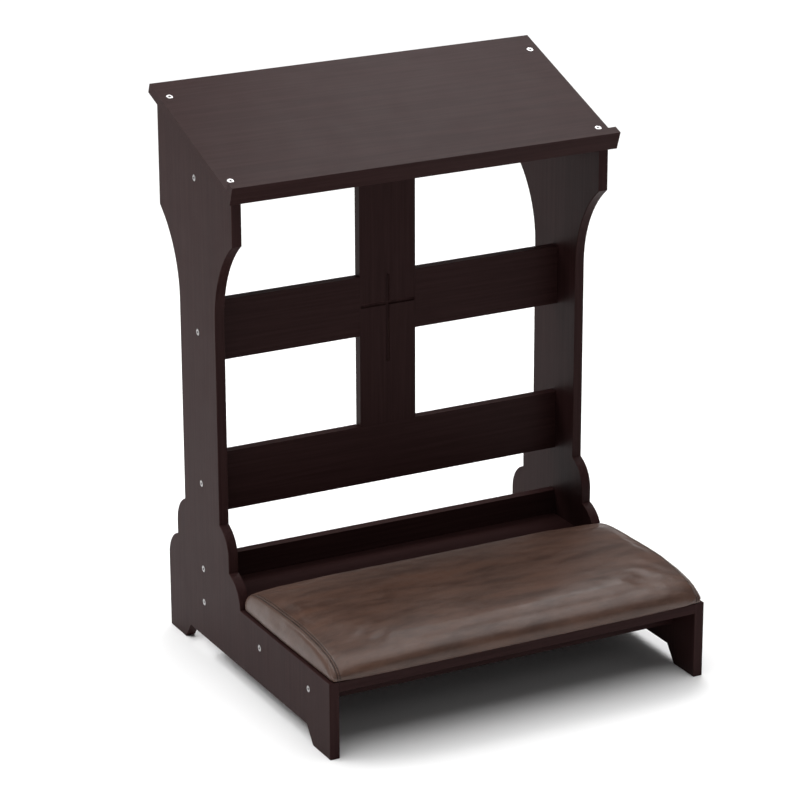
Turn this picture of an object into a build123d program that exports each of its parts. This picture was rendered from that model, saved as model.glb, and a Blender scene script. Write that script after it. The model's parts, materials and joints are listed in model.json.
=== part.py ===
from build123d import *
from math import cos, radians, sin, sqrt, tan
import os

# A kneeling desk for prayer: two shaped side boards, four cross rails and an upright centre board,
# a sloped book desk with a front ledge, and a padded kneeler board on three stretchers.
# Millimetres. +X is the kneeling person's right, +Y points away from that person, +Z is up.
# The origin is on the floor, in the middle of the whole object's footprint.

# ---- boards -----------------------------------------------------------------------------------
board = 15.0  # thickness of every board
frame_width = 600.0  # over the outer faces of the side boards
edge_ease = 1.0  # small rounding of the side boards, desk and ledge
rail_ease = 0.5

# ---- side boards: "at" is a distance behind their front edge, heights are from the floor ---------
panel_depth = 531.5
kneeler_height = 114.0
foot_length = 53.0
foot_cut_run = 19.5
floor_recess = 25.0
post_at = 409.25  # middle of the upright post
post_width = 120.0
head_front_at = 286.6
flank_end_at = 284.5  # where the level kneeler edge meets the first front scallop
notch_reach = 89.25  # from the post's middle to the corner between two scallops
scallop_radius = 45.0
upper_scallop_height = 180.0
cove_radius = 160.0
cove_height = 527.0

# ---- sloped desk and its ledge ------------------------------------------------------------------
desk_slope = 20.0
desk_overhang = 7.5  # past a side board's outer face
desk_length = 270.7
desk_front_at = 270.0
desk_front_height = 732.6
ledge_height = 28.0

# ---- rails, centre board and stretchers -----------------------------------------------------------
top_rail_height = 80.0
top_rail_gap = 1.5  # air between the top rail and the desk
rail_height = 90.0
upper_rail_centre = 496.0
lower_rail_centre = 266.0
back_rail_height = 38.0
stretcher_height = 37.0
front_stretcher_at = 66.0
middle_stretcher_at = 222.0
splat_width = 91.0

# ---- carved cross -----------------------------------------------------------------------------
groove_radius = 3.0
groove_margin = 0.8  # from the cross's arms to the centre board's edges
cross_foot_drop = 45.0  # below the upper rail
cross_tolerance = 30.0  # cubic millimetres, between the cut and half of its cutter

# ---- pad --------------------------------------------------------------------------------------
pad_side_step = 2.0  # from a side board's outer face in to the pad's end
pad_front_bulge = 10.0  # in front of the side boards
pad_front_tuck = 2.0  # where the pad's underside starts, behind their front edge
pad_rear_tuck = 3.0
pad_rear_gap = 1.0
pad_crown = 49.0
cover_thickness = 1.2
cover_hem = 24.0
pad_base_thickness = 9.0
pad_base_inset = 7.0
# the crowned outline: (share of the pad's depth from its front, share of its crown)
pad_shape = [
    (0.0, 0.3),
    (0.07, 0.7),
    (0.22, 0.93),
    (0.46, 1.0),
    (0.74, 0.93),
    (0.93, 0.72),
    (1.0, 0.3),
]
staple_place = 0.6  # share of the hem, from its fold

# ---- fasteners and fits -----------------------------------------------------------------------
hole_clearance = 0.1
screw_tip_room = 1.0  # empty bore past a long screw's tip
confirmat_length = 50.0
confirmat_head_radius = 5.0
confirmat_head_height = 3.0
confirmat_neck_radius = 3.5
confirmat_shank_radius = 2.5
confirmat_rim = 0.5
hex_key_radius = 2.3
hex_key_depth = 2.2
wood_screw_radius = 1.75
wood_screw_head_radius = 3.5
countersink_angle = 82.0
kneeler_screw_length = 38.0
pad_screw_bite = 7.0  # above the kneeler board
dowel_radius = 4.0
dowel_length = 30.0
dowel_in_side = 10.0  # the part of a dowel that sits in a board's face
dowel_offset = 28.0  # above and below a tall rail's screw
small_dowel_offset = 11.0
staple_width = 10.0
staple_leg = 7.0
staple_wire = 0.6

# ---- places of fasteners that can be set by themselves -------------------------------------------
desk_screw_low = 35.5  # up the slope from the ledge's front face
desk_screw_high = 248.0
ledge_dowel_spots = [-225.0, -75.0, 75.0, 225.0]
kneeler_screw_spots = [-200.0, 0.0, 200.0]
pad_screw_rows_at = [95.0, 235.0]
pad_screw_spots = [-180.0, 0.0, 180.0]
staple_count = 9

# ---- sizes and places that follow from the ones above ----------------------------------------------
slope = radians(desk_slope)
desk_reach = desk_front_at + (board + desk_length) * cos(slope) + board * sin(slope)
front_y = (pad_front_bulge - desk_reach) / 2
half_width = frame_width / 2
desk_width = frame_width + 2 * desk_overhang
inner_half = half_width - board
post_front_at = post_at - post_width / 2
post_rear_at = post_at + post_width / 2
rail_front_at = post_at - board / 2
rail_rear_at = post_at + board / 2
lower_rail_top = lower_rail_centre + rail_height / 2
upper_rail_top = upper_rail_centre + rail_height / 2
upper_rail_bottom = upper_rail_centre - rail_height / 2
back_rail_centre = kneeler_height + back_rail_height / 2
stretcher_top = kneeler_height - board
stretcher_centre = stretcher_top - stretcher_height / 2
pad_half = half_width - pad_side_step
pad_width = 2 * pad_half
pad_rear_at = flank_end_at - pad_rear_gap
pad_base_bottom = kneeler_height + cover_thickness
pad_screw_length = board + pad_screw_bite
pad_base_length = pad_rear_at - pad_rear_tuck - pad_front_tuck - 2 * pad_base_inset
wood_screw_flare = wood_screw_head_radius - wood_screw_radius
wood_screw_head_height = wood_screw_flare / tan(radians(countersink_angle / 2))


def underside(at):
    """Height of the desk's underside at a distance behind the side boards' front edge."""
    return desk_front_height + (at - desk_front_at) * tan(slope) - board / cos(slope)


top_rail_top = underside(rail_front_at) - top_rail_gap
top_rail_centre = top_rail_top - top_rail_height / 2
splat_top = top_rail_top - top_rail_height
splat_height = splat_top - lower_rail_top


# ---- work planes ------------------------------------------------------------------------------
def side_plane(x):
    """A plane along the side boards: x is the distance behind their front edge, y the height."""
    return Plane(origin=(x, front_y, 0), x_dir=(0, 1, 0), z_dir=(1, 0, 0))


def outer_plane(side):
    """A side board's outer face, looking outwards: local x is side * distance, local y the height."""
    return Plane(origin=(side * half_width, front_y, 0), x_dir=(0, side, 0), z_dir=(side, 0, 0))


def inner_plane(side):
    """The plane of a side board's inner face, with the same axes as its outer face."""
    return outer_plane(side).offset(-board)


def inward_plane(side):
    """A side board's inner face, looking inwards: local x is -side * distance, local y the height."""
    return Plane(origin=(side * inner_half, front_y, 0), x_dir=(0, -side, 0), z_dir=(-side, 0, 0))


def cross_plane(at):
    """An upright plane across the frame, facing forwards: local x is X, local y the height."""
    return Plane(origin=(0, front_y + at, 0), x_dir=(1, 0, 0), z_dir=(0, -1, 0))


def level_plane(height):
    """A level plane: local x is X, local y the distance behind the side boards' front edge."""
    return Plane(origin=(0, front_y, height), x_dir=(1, 0, 0), z_dir=(0, 0, 1))


desk_plane = Plane(
    origin=(0, front_y + desk_front_at, desk_front_height),
    x_dir=(1, 0, 0),
    z_dir=(0, -sin(slope), cos(slope)),
)
under_desk_plane = desk_plane.offset(-board)
ledge_joint_plane = Plane(
    origin=desk_plane.from_local_coords((0, board, -board / 2)),
    x_dir=(1, 0, 0),
    z_dir=(0, -cos(slope), -sin(slope)),
)

# ---- where the screws and dowels go: (distance behind the front edge, height) -----------------------
rail_centres = [top_rail_centre, upper_rail_centre, lower_rail_centre, back_rail_centre]
rail_screws = [(post_at, z) for z in rail_centres]
stretcher_screws = [(at, stretcher_centre) for at in (post_at, middle_stretcher_at, front_stretcher_at)]
side_screws = rail_screws + stretcher_screws
tall_rail_centres = rail_centres[:3]
rail_dowels = [(post_at, z + sign * dowel_offset) for z in tall_rail_centres for sign in (-1, 1)]
rail_dowels.append((post_at, back_rail_centre + small_dowel_offset))
desk_screw_x = half_width - board / 2
desk_screws = [(x, s) for x in (-desk_screw_x, desk_screw_x) for s in (desk_screw_low, desk_screw_high)]
splat_dowel_spots = [(-splat_width / 4, post_at), (splat_width / 4, post_at)]
stretcher_places = [front_stretcher_at, middle_stretcher_at, post_at]
kneeler_screws = [(x, at) for x in kneeler_screw_spots for at in stretcher_places]
pad_screws_at = [(x, at) for x in pad_screw_spots for at in pad_screw_rows_at]


def on_side(side, spots):
    """Turn (distance, height) pairs into local points of a side board's plane."""
    return [(side * at, height) for at, height in spots]


# ---- shared steps -----------------------------------------------------------------------------
def write(part, label):
    """Name a finished piece and write its file."""
    part.label = label
    export_step(part, f"parts/{label}.step")


def ease(part, axis, amount):
    """Round the outline of both broad faces of the board being built."""
    faces = part.faces().filter_by(axis).sort_by(axis)
    fillet([edge for face in (faces[0], faces[-1]) for edge in face.outer_wire().edges()], radius=amount)


def confirmat_holes(plane, spots):
    """Stepped holes through a board: a recess for the screw's head, then a bore for its neck."""
    with Locations(plane):
        with Locations(*spots):
            CounterBoreHole(
                confirmat_neck_radius + hole_clearance,
                confirmat_head_radius + hole_clearance,
                confirmat_head_height,
            )


def bores(plane, spots, radius, depth):
    """Round holes of one depth, going down from a plane."""
    with Locations(plane):
        with Locations(*spots):
            Hole(radius, depth)


def screw_bores(plane, spots):
    """Bores for the threads of the long side screws, from a rail's end or a board's edge."""
    depth = confirmat_length - board + screw_tip_room
    bores(plane, spots, confirmat_shank_radius + hole_clearance, depth)


def copies(part, plane, spots):
    """Add a copy of a fastener at each point of a plane, pointing down into it."""
    with Locations(plane):
        with Locations(*spots):
            add(part)


os.makedirs("parts", exist_ok=True)

# ---- fasteners: each points down, with its head at the origin ----------------------------------------
down = (Align.CENTER, Align.CENTER, Align.MAX)

with BuildPart() as confirmat:
    Cylinder(confirmat_head_radius, confirmat_head_height, align=down)
    chamfer(confirmat.edges().group_by(Axis.Z)[-1], length=confirmat_rim)
    with Locations((0, 0, -confirmat_head_height)):
        Cylinder(confirmat_neck_radius, board - confirmat_head_height, align=down)
    with Locations((0, 0, -board)):
        Cylinder(confirmat_shank_radius, confirmat_length - board, align=down)
    chamfer(confirmat.edges().group_by(Axis.Z)[0], length=confirmat_shank_radius / 2)
    with BuildSketch():
        RegularPolygon(hex_key_radius, 6)
    extrude(amount=-hex_key_depth, mode=Mode.SUBTRACT)


def wood_screw(length):
    """Countersunk cross-head wood screw."""
    with BuildPart() as screw:
        with BuildSketch(Plane.XZ):
            with BuildLine():
                Polyline(
                    (0, 0),
                    (wood_screw_head_radius, 0),
                    (wood_screw_radius, -wood_screw_head_height),
                    (wood_screw_radius, -length + 2 * wood_screw_radius),
                    (0, -length),
                    close=True,
                )
            make_face()
        revolve(axis=Axis.Z)
        with BuildSketch():
            Rectangle(wood_screw_head_radius, wood_screw_radius / 2)
            Rectangle(wood_screw_radius / 2, wood_screw_head_radius)
        extrude(amount=-wood_screw_head_height / 2, mode=Mode.SUBTRACT)
    return screw.part


with BuildPart() as dowel:
    Cylinder(dowel_radius, dowel_length, align=down)
    chamfer(dowel.edges(), length=dowel_radius / 4)

with BuildPart() as staple:
    Box(staple_width, staple_wire, staple_wire, align=(Align.CENTER, Align.CENTER, Align.MIN))
    with Locations((-(staple_width - staple_wire) / 2, 0, 0), ((staple_width - staple_wire) / 2, 0, 0)):
        Box(staple_wire, staple_wire, staple_leg, align=(Align.CENTER, Align.CENTER, Align.MIN))

for side, label in ((-1, "left_panel_screws"), (1, "right_panel_screws")):
    with BuildPart() as panel_screws:
        copies(confirmat.part, outer_plane(side), on_side(side, side_screws))
    write(panel_screws.part, label)

with BuildPart() as desk_fixings:
    copies(confirmat.part, desk_plane, desk_screws)
write(desk_fixings.part, "desk_screws")

with BuildPart() as kneeler_fixings:
    copies(wood_screw(kneeler_screw_length), level_plane(kneeler_height), kneeler_screws)
write(kneeler_fixings.part, "kneeler_board_screws")

under_kneeler_plane = Plane(origin=(0, front_y, stretcher_top), x_dir=(-1, 0, 0), z_dir=(0, 0, -1))
under_pad_screws = [(-x, at) for x, at in pad_screws_at]
with BuildPart() as pad_fixings:
    copies(wood_screw(pad_screw_length), under_kneeler_plane, under_pad_screws)
write(pad_fixings.part, "pad_screws")

with BuildPart() as rail_pegs:
    for side in (-1, 1):
        copies(dowel.part, inner_plane(side).offset(dowel_in_side), on_side(side, rail_dowels))
write(rail_pegs.part, "rail_dowels")

with BuildPart() as splat_pegs:
    copies(dowel.part, level_plane(splat_top + dowel_length / 2), splat_dowel_spots)
    copies(dowel.part, level_plane(lower_rail_top + dowel_length / 2), splat_dowel_spots)
write(splat_pegs.part, "splat_dowels")

with BuildPart() as ledge_pegs:
    copies(dowel.part, ledge_joint_plane.offset(dowel_in_side), [(x, 0) for x in ledge_dowel_spots])
write(ledge_pegs.part, "ledge_dowels")


# ---- side boards ------------------------------------------------------------------------------
def rise(radius, across):
    """How far an arc stands above its centre at a sideways distance from it."""
    return sqrt(radius**2 - across**2)


notch_front_at = post_at - notch_reach
notch_rear_at = post_at + notch_reach
flank_scallop_run = flank_end_at + scallop_radius - notch_front_at
front_notch_height = kneeler_height + rise(scallop_radius, flank_scallop_run)
rear_notch_height = kneeler_height + rise(scallop_radius, notch_rear_at - panel_depth + scallop_radius)
waist_scallop_run = notch_front_at + scallop_radius - post_front_at
waist_height = upper_scallop_height + rise(scallop_radius, waist_scallop_run)
head_front_height = cove_height + rise(cove_radius, head_front_at - post_front_at + cove_radius)
head_rear_height = cove_height + rise(cove_radius, post_rear_at + cove_radius - panel_depth)

with BuildSketch(Plane.XY) as side_outline:
    with BuildLine():
        Polyline(
            (flank_end_at, kneeler_height),
            (0, kneeler_height),
            (0, 0),
            (foot_length, 0),
            (foot_length + foot_cut_run, floor_recess),
            (panel_depth - foot_length - foot_cut_run, floor_recess),
            (panel_depth - foot_length, 0),
            (panel_depth, 0),
            (panel_depth, kneeler_height),
        )
        RadiusArc((panel_depth, kneeler_height), (notch_rear_at, rear_notch_height), -scallop_radius)
        Line((notch_rear_at, rear_notch_height), (notch_rear_at, upper_scallop_height))
        RadiusArc((notch_rear_at, upper_scallop_height), (post_rear_at, waist_height), -scallop_radius)
        Line((post_rear_at, waist_height), (post_rear_at, cove_height))
        RadiusArc((post_rear_at, cove_height), (panel_depth, head_rear_height), cove_radius)
        Polyline(
            (panel_depth, head_rear_height),
            (panel_depth, underside(panel_depth)),
            (head_front_at, underside(head_front_at)),
            (head_front_at, head_front_height),
        )
        RadiusArc((head_front_at, head_front_height), (post_front_at, cove_height), cove_radius)
        Line((post_front_at, cove_height), (post_front_at, waist_height))
        RadiusArc((post_front_at, waist_height), (notch_front_at, upper_scallop_height), -scallop_radius)
        Line((notch_front_at, upper_scallop_height), (notch_front_at, front_notch_height))
        RadiusArc((notch_front_at, front_notch_height), (flank_end_at, kneeler_height), -scallop_radius)
    make_face()

for side, label in ((-1, "left_side_panel"), (1, "right_side_panel")):
    with BuildPart() as side_board:
        with BuildSketch(outer_plane(side).offset(-board)):
            add(side_outline.sketch_local if side > 0 else side_outline.sketch_local.mirror(Plane.YZ))
        extrude(amount=board)
        ease(side_board, Axis.X, edge_ease)
        confirmat_holes(outer_plane(side), on_side(side, side_screws))
        bores(inward_plane(side), on_side(-side, rail_dowels), dowel_radius, dowel_in_side)
        top_screws = [(x, s) for x, s in desk_screws if x * side > 0]
        screw_bores(under_desk_plane, top_screws)
    write(side_board.part, label)


# ---- cross rails and stretchers: boards on edge between the side boards -------------------------
def cross_board(centre_at, centre_height, height):
    """Draw the board, with eased long edges and a screw bore in each end."""
    with BuildSketch(cross_plane(centre_at - board / 2)) as section:
        with Locations((0, centre_height)):
            Rectangle(2 * inner_half, height)
    extrude(section.sketch, amount=-board)
    fillet(edges().filter_by(Axis.X), radius=rail_ease)
    for side in (-1, 1):
        screw_bores(inner_plane(side), on_side(side, [(centre_at, centre_height)]))


def end_dowel_bores(centre_height, offsets):
    """Bores for dowels above and below the screw, in both ends of a rail."""
    for side in (-1, 1):
        spots = on_side(side, [(post_at, centre_height + offset) for offset in offsets])
        bores(inner_plane(side), spots, dowel_radius, dowel_length - dowel_in_side)


both_sides_of_screw = [-dowel_offset, dowel_offset]

with BuildPart() as top_rail:
    cross_board(post_at, top_rail_centre, top_rail_height)
    end_dowel_bores(top_rail_centre, both_sides_of_screw)
    upward = Plane(origin=(0, front_y, splat_top), x_dir=(-1, 0, 0), z_dir=(0, 0, -1))
    bores(upward, [(-x, at) for x, at in splat_dowel_spots], dowel_radius, dowel_length / 2)
write(top_rail.part, "top_rail")

with BuildPart() as upper_rail:
    cross_board(post_at, upper_rail_centre, rail_height)
    end_dowel_bores(upper_rail_centre, both_sides_of_screw)
    with BuildSketch(cross_plane(rail_front_at)):
        with Locations((0, upper_rail_centre)):
            Rectangle(splat_width, rail_height)
    extrude(amount=-board / 2, mode=Mode.SUBTRACT)
write(upper_rail.part, "upper_rail")

with BuildPart() as lower_rail:
    cross_board(post_at, lower_rail_centre, rail_height)
    end_dowel_bores(lower_rail_centre, both_sides_of_screw)
    bores(level_plane(lower_rail_top), splat_dowel_spots, dowel_radius, dowel_length / 2)
write(lower_rail.part, "lower_rail")

with BuildPart() as back_rail:
    cross_board(post_at, back_rail_centre, back_rail_height)
    end_dowel_bores(back_rail_centre, [small_dowel_offset])
write(back_rail.part, "back_rail")

for at, label in (
    (front_stretcher_at, "front_stretcher"),
    (middle_stretcher_at, "middle_stretcher"),
    (post_at, "rear_stretcher"),
):
    with BuildPart() as stretcher:
        cross_board(at, stretcher_centre, stretcher_height)
        bores(
            level_plane(stretcher_top),
            [(x, at) for x in kneeler_screw_spots],
            wood_screw_radius + hole_clearance,
            kneeler_screw_length - board + screw_tip_room,
        )
    write(stretcher.part, label)

# ---- centre board with the carved cross ------------------------------------------------------------
cross_bottom = upper_rail_bottom - cross_foot_drop
cross_upright = upper_rail_top - cross_bottom - 2 * groove_radius
cross_arms = splat_width - 2 * (groove_margin + groove_radius)

with BuildPart() as cross_cutter:
    with Locations(cross_plane(rail_front_at)):
        with Locations((0, (upper_rail_top + cross_bottom) / 2)):
            Cylinder(groove_radius, cross_upright, rotation=(90, 0, 0))
        with Locations((0, upper_rail_centre)):
            Cylinder(groove_radius, cross_arms, rotation=(0, 90, 0))
        with Locations(
            (0, upper_rail_top - groove_radius),
            (0, cross_bottom + groove_radius),
            (-cross_arms / 2, upper_rail_centre),
            (cross_arms / 2, upper_rail_centre),
        ):
            Sphere(groove_radius)

with BuildPart() as center_splat:
    with BuildSketch(cross_plane(rail_front_at)):
        with Locations((0, lower_rail_top + splat_height / 2)):
            Rectangle(splat_width, splat_height)
    extrude(amount=-board)
    fillet(center_splat.edges().filter_by(Axis.Z), radius=rail_ease)
    with BuildSketch(cross_plane(rail_rear_at)):
        with Locations((0, upper_rail_centre)):
            Rectangle(splat_width, rail_height)
    extrude(amount=board / 2, mode=Mode.SUBTRACT)
    bores(level_plane(splat_top), splat_dowel_spots, dowel_radius, dowel_length / 2)
    foot_plane = Plane(origin=(0, front_y, lower_rail_top), x_dir=(-1, 0, 0), z_dir=(0, 0, -1))
    bores(foot_plane, [(-x, at) for x, at in splat_dowel_spots], dowel_radius, dowel_length / 2)
    uncut = center_splat.part.volume
    add(cross_cutter.part, mode=Mode.SUBTRACT)
cut_short = abs(uncut - center_splat.part.volume - cross_cutter.part.volume / 2)
if cut_short > cross_tolerance:
    raise ValueError(f"the cross is {cut_short:.0f} mm3 off")
write(center_splat.part, "center_splat")

# ---- sloped desk and its ledge --------------------------------------------------------------------
with BuildPart() as desk_top:
    with BuildSketch(under_desk_plane):
        with Locations((0, board)):
            Rectangle(desk_width, desk_length, align=(Align.CENTER, Align.MIN))
    extrude(amount=board)
    fillet(desk_top.edges().filter_by(Axis.X).sort_by(Axis.Y)[2:], radius=edge_ease)
    confirmat_holes(desk_plane, desk_screws)
    ledge_bore_spots = [(x, 0) for x in ledge_dowel_spots]
    bores(ledge_joint_plane, ledge_bore_spots, dowel_radius, dowel_length - dowel_in_side)
write(desk_top.part, "desk_top")

with BuildPart() as book_ledge:
    with BuildSketch(under_desk_plane):
        Rectangle(desk_width, board, align=(Align.CENTER, Align.MIN))
    extrude(amount=ledge_height)
    into_ledge = Plane(ledge_joint_plane.origin, x_dir=(-1, 0, 0), z_dir=-ledge_joint_plane.z_dir)
    bores(into_ledge, [(x, 0) for x in ledge_dowel_spots], dowel_radius, dowel_in_side)
write(book_ledge.part, "book_ledge")

# ---- kneeler board --------------------------------------------------------------------------------
with BuildPart() as kneeler_board:
    with BuildSketch(level_plane(stretcher_top)):
        Rectangle(2 * inner_half, rail_rear_at, align=(Align.CENTER, Align.MIN))
    extrude(amount=board)
    front_face = kneeler_board.faces().sort_by(Axis.Y)[0]
    fillet(front_face.edges().filter_by(Axis.X), radius=edge_ease)
    with Locations(level_plane(kneeler_height)):
        with Locations(*kneeler_screws):
            CounterSinkHole(
                wood_screw_radius + hole_clearance,
                wood_screw_head_radius + hole_clearance,
                counter_sink_angle=countersink_angle,
            )
    with Locations(under_kneeler_plane):
        with Locations(*under_pad_screws):
            CounterSinkHole(
                wood_screw_radius + hole_clearance,
                wood_screw_head_radius + hole_clearance,
                counter_sink_angle=countersink_angle,
            )
write(kneeler_board.part, "kneeler_board")

# ---- pad: base board, foam, and a cover of one long panel and two end panels -----------------------
def pad_section(inset):
    """The pad's closed outline from front to back, drawn a little inside its outer surface."""
    low = kneeler_height + inset
    crown = pad_crown - 2 * inset
    front = -pad_front_bulge + inset
    depth = pad_rear_at - inset - front
    start = (pad_front_tuck + inset, low)
    end = (pad_rear_at - pad_rear_tuck - inset, low)
    over = [(front + along * depth, low + up * crown) for along, up in pad_shape]
    with BuildSketch(Plane.XY) as section:
        with BuildLine():
            Spline(start, *over, end)
            Line(end, start)
        make_face()
    return section.sketch_local


pad_outline = pad_section(0)
pad_core = pad_section(cover_thickness)

cover_start = -pad_half + cover_thickness
cover_length = pad_width - 2 * cover_thickness
base_front_at = pad_front_tuck + pad_base_inset
base_plane = level_plane(pad_base_bottom)
base_width = cover_length - 2 * pad_base_inset
staple_inset = cover_hem * staple_place
staple_rows_at = [pad_front_tuck + staple_inset, pad_rear_at - pad_rear_tuck - staple_inset]

with BuildPart() as cover_fixings:
    for at in staple_rows_at:
        with Locations(level_plane(kneeler_height)):
            with Locations((0, at)):
                with GridLocations(cover_length / staple_count, 1, staple_count, 1):
                    add(staple.part)
write(cover_fixings.part, "cover_staples")

with BuildPart() as pad_base_board:
    with BuildSketch(base_plane):
        with Locations((0, base_front_at)):
            Rectangle(base_width, pad_base_length, align=(Align.CENTER, Align.MIN))
    extrude(amount=pad_base_thickness)
    with Locations(base_plane.offset(pad_base_thickness)):
        with Locations(*pad_screws_at):
            Hole(wood_screw_radius + hole_clearance, pad_base_thickness)
    add(cover_fixings.part, mode=Mode.SUBTRACT)
write(pad_base_board.part, "pad_base_board")

with BuildPart() as pad_foam:
    with BuildSketch(side_plane(cover_start)):
        add(pad_core)
    extrude(amount=cover_length)
    with BuildSketch(base_plane):
        with Locations((0, base_front_at)):
            Rectangle(base_width, pad_base_length, align=(Align.CENTER, Align.MIN))
    extrude(amount=pad_base_thickness, mode=Mode.SUBTRACT)
write(pad_foam.part, "pad_foam")

with BuildPart() as pad_cover:
    with BuildSketch(side_plane(cover_start)):
        add(pad_outline)
        add(pad_core, mode=Mode.SUBTRACT)
    extrude(amount=cover_length)
    with BuildSketch(level_plane(kneeler_height)):
        with Locations((0, pad_front_tuck + cover_hem)):
            open_length = pad_rear_at - pad_rear_tuck - pad_front_tuck - 2 * cover_hem
            Rectangle(cover_length, open_length, align=(Align.CENTER, Align.MIN))
    extrude(amount=cover_thickness, mode=Mode.SUBTRACT)
    add(cover_fixings.part, mode=Mode.SUBTRACT)
write(pad_cover.part, "pad_cover")

for x, label in ((-pad_half, "pad_end_left"), (pad_half - cover_thickness, "pad_end_right")):
    with BuildPart() as pad_end:
        with BuildSketch(side_plane(x)):
            add(pad_outline)
        extrude(amount=cover_thickness)
    write(pad_end.part, label)
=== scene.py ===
import json
import math

import bmesh
import bpy
from bpy.props import FloatProperty, FloatVectorProperty, PointerProperty
from mathutils import Matrix, Vector, noise


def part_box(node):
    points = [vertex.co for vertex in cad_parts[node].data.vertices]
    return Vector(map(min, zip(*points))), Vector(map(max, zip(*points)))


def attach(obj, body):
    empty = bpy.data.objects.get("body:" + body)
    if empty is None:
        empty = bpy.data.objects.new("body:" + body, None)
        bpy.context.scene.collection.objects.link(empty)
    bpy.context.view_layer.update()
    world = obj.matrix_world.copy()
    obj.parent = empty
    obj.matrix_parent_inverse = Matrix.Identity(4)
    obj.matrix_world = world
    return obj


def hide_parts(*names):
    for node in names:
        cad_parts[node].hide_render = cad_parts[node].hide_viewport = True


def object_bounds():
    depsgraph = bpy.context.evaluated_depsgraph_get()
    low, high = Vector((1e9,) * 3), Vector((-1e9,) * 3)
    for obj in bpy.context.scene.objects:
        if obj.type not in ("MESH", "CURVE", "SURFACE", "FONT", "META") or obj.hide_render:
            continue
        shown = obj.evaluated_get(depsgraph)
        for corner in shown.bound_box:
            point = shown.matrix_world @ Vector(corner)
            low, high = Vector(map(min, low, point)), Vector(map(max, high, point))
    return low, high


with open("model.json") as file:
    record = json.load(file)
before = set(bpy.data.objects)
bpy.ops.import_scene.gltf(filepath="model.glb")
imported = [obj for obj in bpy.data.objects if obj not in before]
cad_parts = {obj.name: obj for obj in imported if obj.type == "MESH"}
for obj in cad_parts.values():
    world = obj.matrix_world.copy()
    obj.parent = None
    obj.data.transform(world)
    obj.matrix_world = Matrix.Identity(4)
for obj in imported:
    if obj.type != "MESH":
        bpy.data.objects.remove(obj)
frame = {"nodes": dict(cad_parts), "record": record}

bl_info = {
    "name": "Prayer kneeler with book desk",
    "version": (1, 0, 0),
    "blender": (4, 5, 0),
    "location": "3D View > Sidebar > Kneeler",
    "description": "Finishes a kneeler's boards, screws and leather pad around its fixed frame",
    "category": "Object",
}

CAD_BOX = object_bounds()
MM = 0.001
BODY = "root"


def box_of(node):
    """A node's lowest and highest corner."""
    low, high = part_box(node)
    return Vector(low), Vector(high)


PAD_LOW, PAD_HIGH = box_of("pad_cover")
LEFT_END_LOW, LEFT_END_HIGH = box_of("pad_end_left")
RIGHT_END_LOW, RIGHT_END_HIGH = box_of("pad_end_right")
DESK_NORMAL = Vector(next(m["axis"] for m in frame["record"]["mounts"] if m["name"] == "book_desk"))
DESK_TILT = math.atan2(-DESK_NORMAL.y, DESK_NORMAL.z)


# ---- sizes and colours ------------------------------------------------------------------------
def length(label, text, value):
    """A size in metres that a user can change."""
    return FloatProperty(name=label, description=text, default=value, unit="LENGTH", precision=5)


def share(label, text, value):
    """A number without a unit."""
    return FloatProperty(name=label, description=text, default=value, precision=4)


def paint(label, text, value):
    """A colour, as three linear shares."""
    return FloatVectorProperty(
        name=label, description=text, default=value, size=3, subtype="COLOR", min=0.0, max=1.0
    )


class LacquerFinish(bpy.types.PropertyGroup):
    deep: paint("Deep", "Colour in the grain's dark streaks", (0.0200, 0.0080, 0.0078))
    warm: paint("Warm", "Colour of the wood between the streaks", (0.0300, 0.0135, 0.0131))
    worn: paint("Worn edge", "Colour where the lacquer has rubbed thin", (0.038, 0.021, 0.018))
    gloss: share("Roughness", "How dull the lacquer is", 0.42)
    grain_width: length("Grain width", "Distance between two streaks", 0.0045)
    grain_length: length("Grain length", "Length of a streak", 0.16)
    grain_depth: length("Grain depth", "Depth of the pores under the lacquer", 0.00005)


class ScrewShape(bpy.types.PropertyGroup):
    head_radius: length("Head radius", "Radius of the screw's flat head", 0.005)
    head_height: length("Head height", "Height of the head", 0.003)
    rim: length("Rim", "Rounded edge of the head", 0.0005)
    neck_radius: length("Neck radius", "Radius of the smooth neck", 0.0035)
    neck_end: length("Neck end", "Where the neck stops, below the head's top", 0.015)
    core_radius: length("Core radius", "Radius between the threads", 0.0019)
    thread_height: length("Thread height", "Height of the thread over the core", 0.0006)
    thread_pitch: length("Thread pitch", "Distance between two turns", 0.003)
    full_length: length("Length", "Length of the screw", 0.05)
    key_radius: length("Key radius", "Radius of the six-sided socket over its corners", 0.0023)
    key_depth: length("Key depth", "Depth of the six-sided socket", 0.0022)
    metal: paint("Zinc", "Colour of the plated steel", (0.40, 0.39, 0.39))


class PadShape(bpy.types.PropertyGroup):
    voxel: length("Mesh size", "Mesh size of the simulated cover", 0.004)
    pressure: share("Pressure", "How hard the filling pushes", 4.0)
    swell: length("Swell", "How far the cover may move as it fills", 0.005)
    start_in: length("Start inside", "How far inside its final surface the cover starts", 0.0035)
    rest_gap: length("Rest gap", "Air between the pad and the boards", 0.0003)
    seam_in: length("Seam inset", "From the pad's end in to the seam over its end panel", 0.0095)
    seam_depth: length("Seam depth", "Depth of the seam's valley", 0.0012)
    row_in: length("Stitch row", "From the seam in to the row of stitches", 0.0036)
    stitch: length("Stitch length", "Length of one stitch", 0.0034)
    stitch_gap: length("Stitch gap", "Distance between two stitches", 0.0011)
    thread: length("Thread", "Radius of the thread", 0.00036)


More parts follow.
